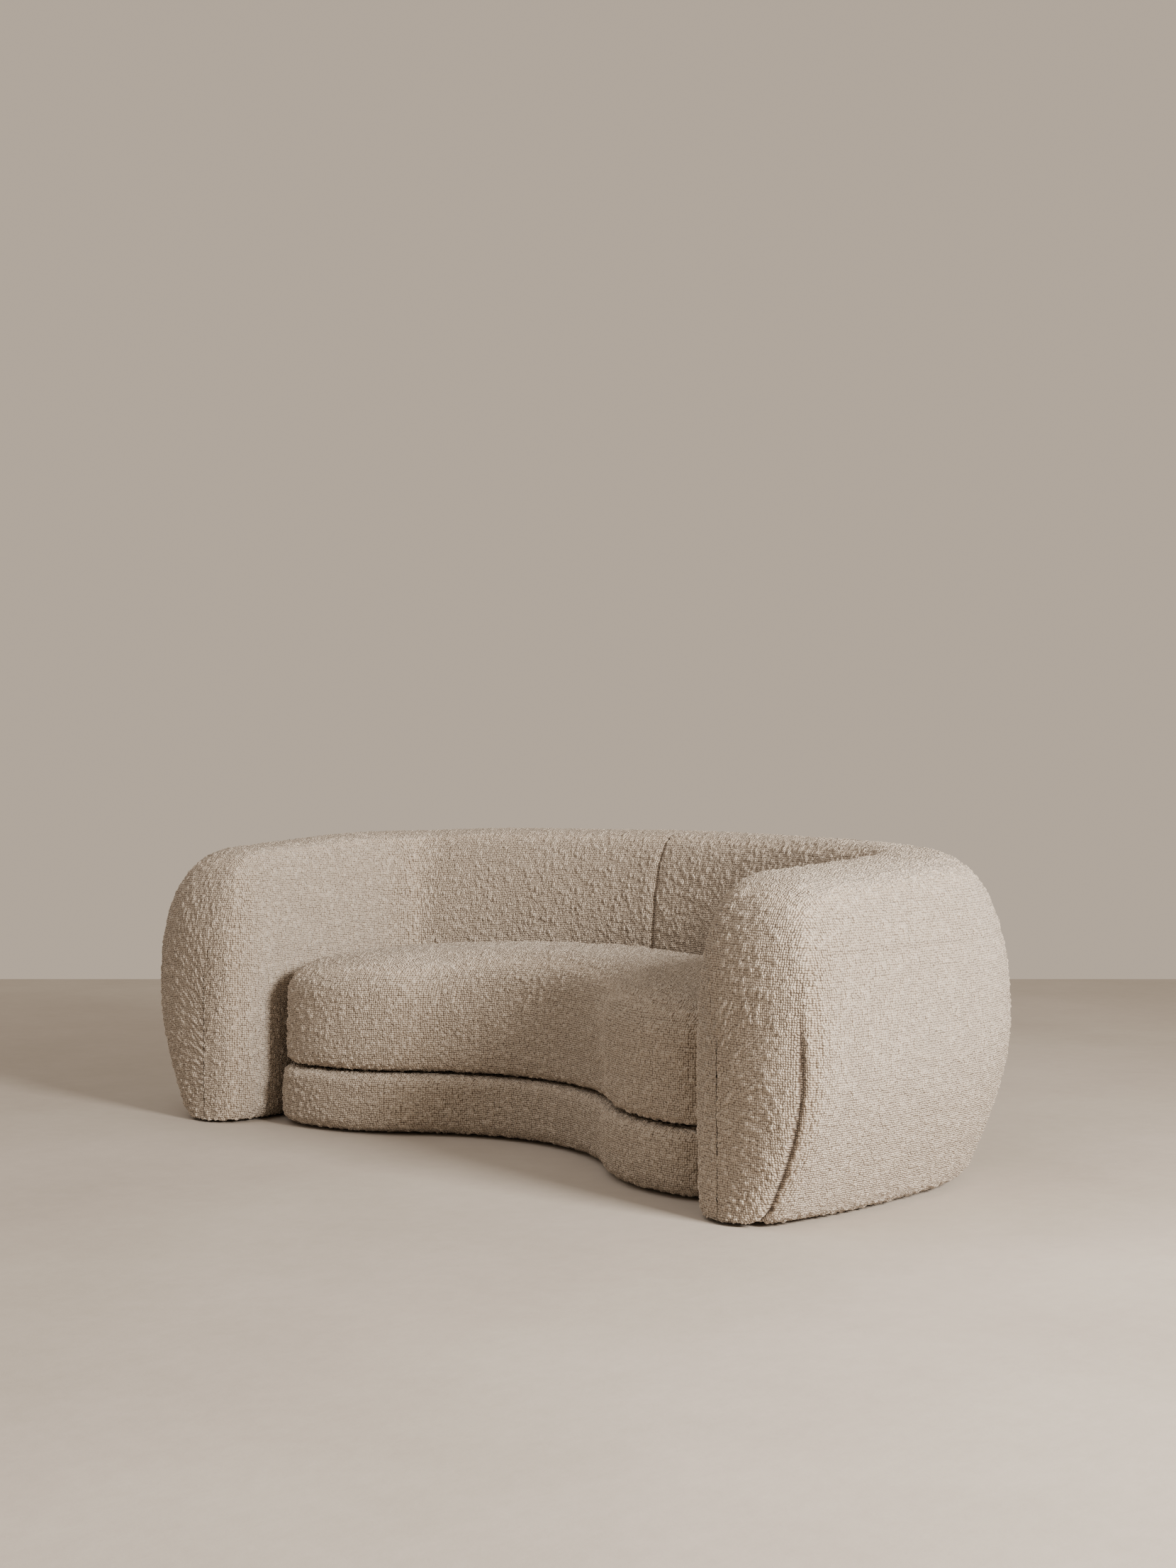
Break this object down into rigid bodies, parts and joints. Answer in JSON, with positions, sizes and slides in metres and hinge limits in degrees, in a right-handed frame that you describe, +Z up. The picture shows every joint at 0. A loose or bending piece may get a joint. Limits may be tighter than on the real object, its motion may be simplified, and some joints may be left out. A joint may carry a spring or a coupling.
{
  "type": "curved two-seat sofa",
  "caption": "Curved two-seat sofa: a rounded wrap-around back and arms in looped fabric around a kidney-shaped base with a matching loose seat cushion",
  "frame": {"origin": "on the floor, under the middle of the sofa's overall box", "axes": "+X along the width, to the right seen from the front; +Y towards the back; +Z up"},
  "size_m": [2.1718, 1.0727, 0.7153],
  "materials": {
    "plywood": "birch plywood, sanded, unfinished",
    "timber": "planed softwood, unfinished",
    "bent_ply": "thin bendy plywood, unfinished",
    "foot_wood": "stained beech, satin",
    "foam": "open-cell polyurethane foam",
    "fibre": "polyester fibre wadding",
    "boucle_outside": "chunky looped bouclé, oatmeal",
    "boucle_inside": "chunky looped bouclé, oatmeal",
    "boucle_base": "chunky looped bouclé, oatmeal",
    "boucle_cushion": "chunky looped bouclé, oatmeal",
    "dust_cloth": "black non-woven dust cloth",
    "webbing": "elastic webbing",
    "hook_tape": "hook tape",
    "loop_tape": "loop tape",
    "glide_plastic": "moulded nylon, matte",
    "screw_steel": "zinc-plated screw",
    "bolt_steel": "zinc-plated bolt and nut",
    "zip_tape": "nylon coil zip on woven tape",
    "zip_metal": "nickel-plated slider"
  },
  "bodies": {
    "sofa": {"shell_bottom_plate": "plywood", "shell_mid_rail": "plywood", "shell_top_rail": "plywood", "shell_joining_rail": "timber", "shell_lower_ribs": "plywood", "shell_upper_ribs": "plywood", "arm_front_posts": "timber", "shell_inner_skin": "bent_ply", "shell_outer_skin": "bent_ply", "left_back_foam": "foam", "right_back_foam": "foam", "left_arm_foam": "foam", "right_arm_foam": "foam", "outside_cover": "boucle_outside", "inside_cover_left": "boucle_inside", "inside_cover_right": "boucle_inside", "left_arm_front_cover": "boucle_inside", "right_arm_front_cover": "boucle_inside", "shell_dust_cover": "dust_cloth", "shell_feet": "foot_wood", "shell_glides": "glide_plastic", "foot_screws": "screw_steel", "base_bottom_plate": "plywood", "base_fascia": "bent_ply", "base_deck_ring": "plywood", "base_ribs": "plywood", "seat_webbing_lengthwise": "webbing", "seat_webbing_crosswise": "webbing", "base_foam": "foam", "base_cover": "boucle_base", "base_dust_cover": "dust_cloth", "base_feet": "foot_wood", "base_glides": "glide_plastic", "frame_packers": "timber", "base_backing_blocks": "timber", "joining_bolts": "bolt_steel", "joining_nuts": "bolt_steel", "hook_pads": "hook_tape"},
    "seat_cushion": {"cushion_foam_core": "foam", "cushion_fibre_wrap": "fibre", "cushion_cover_top": "boucle_cushion", "cushion_cover_underside": "boucle_cushion", "cushion_zip": "zip_tape", "cushion_zip_slider": "zip_metal", "loop_pads": "loop_tape"}
  },
  "joints": [
    {"name": "cushion_lift", "type": "slide", "parent": "sofa", "child": "seat_cushion", "axis": [0, 0, 1], "range_m": [0, 0.62]}
  ]
}
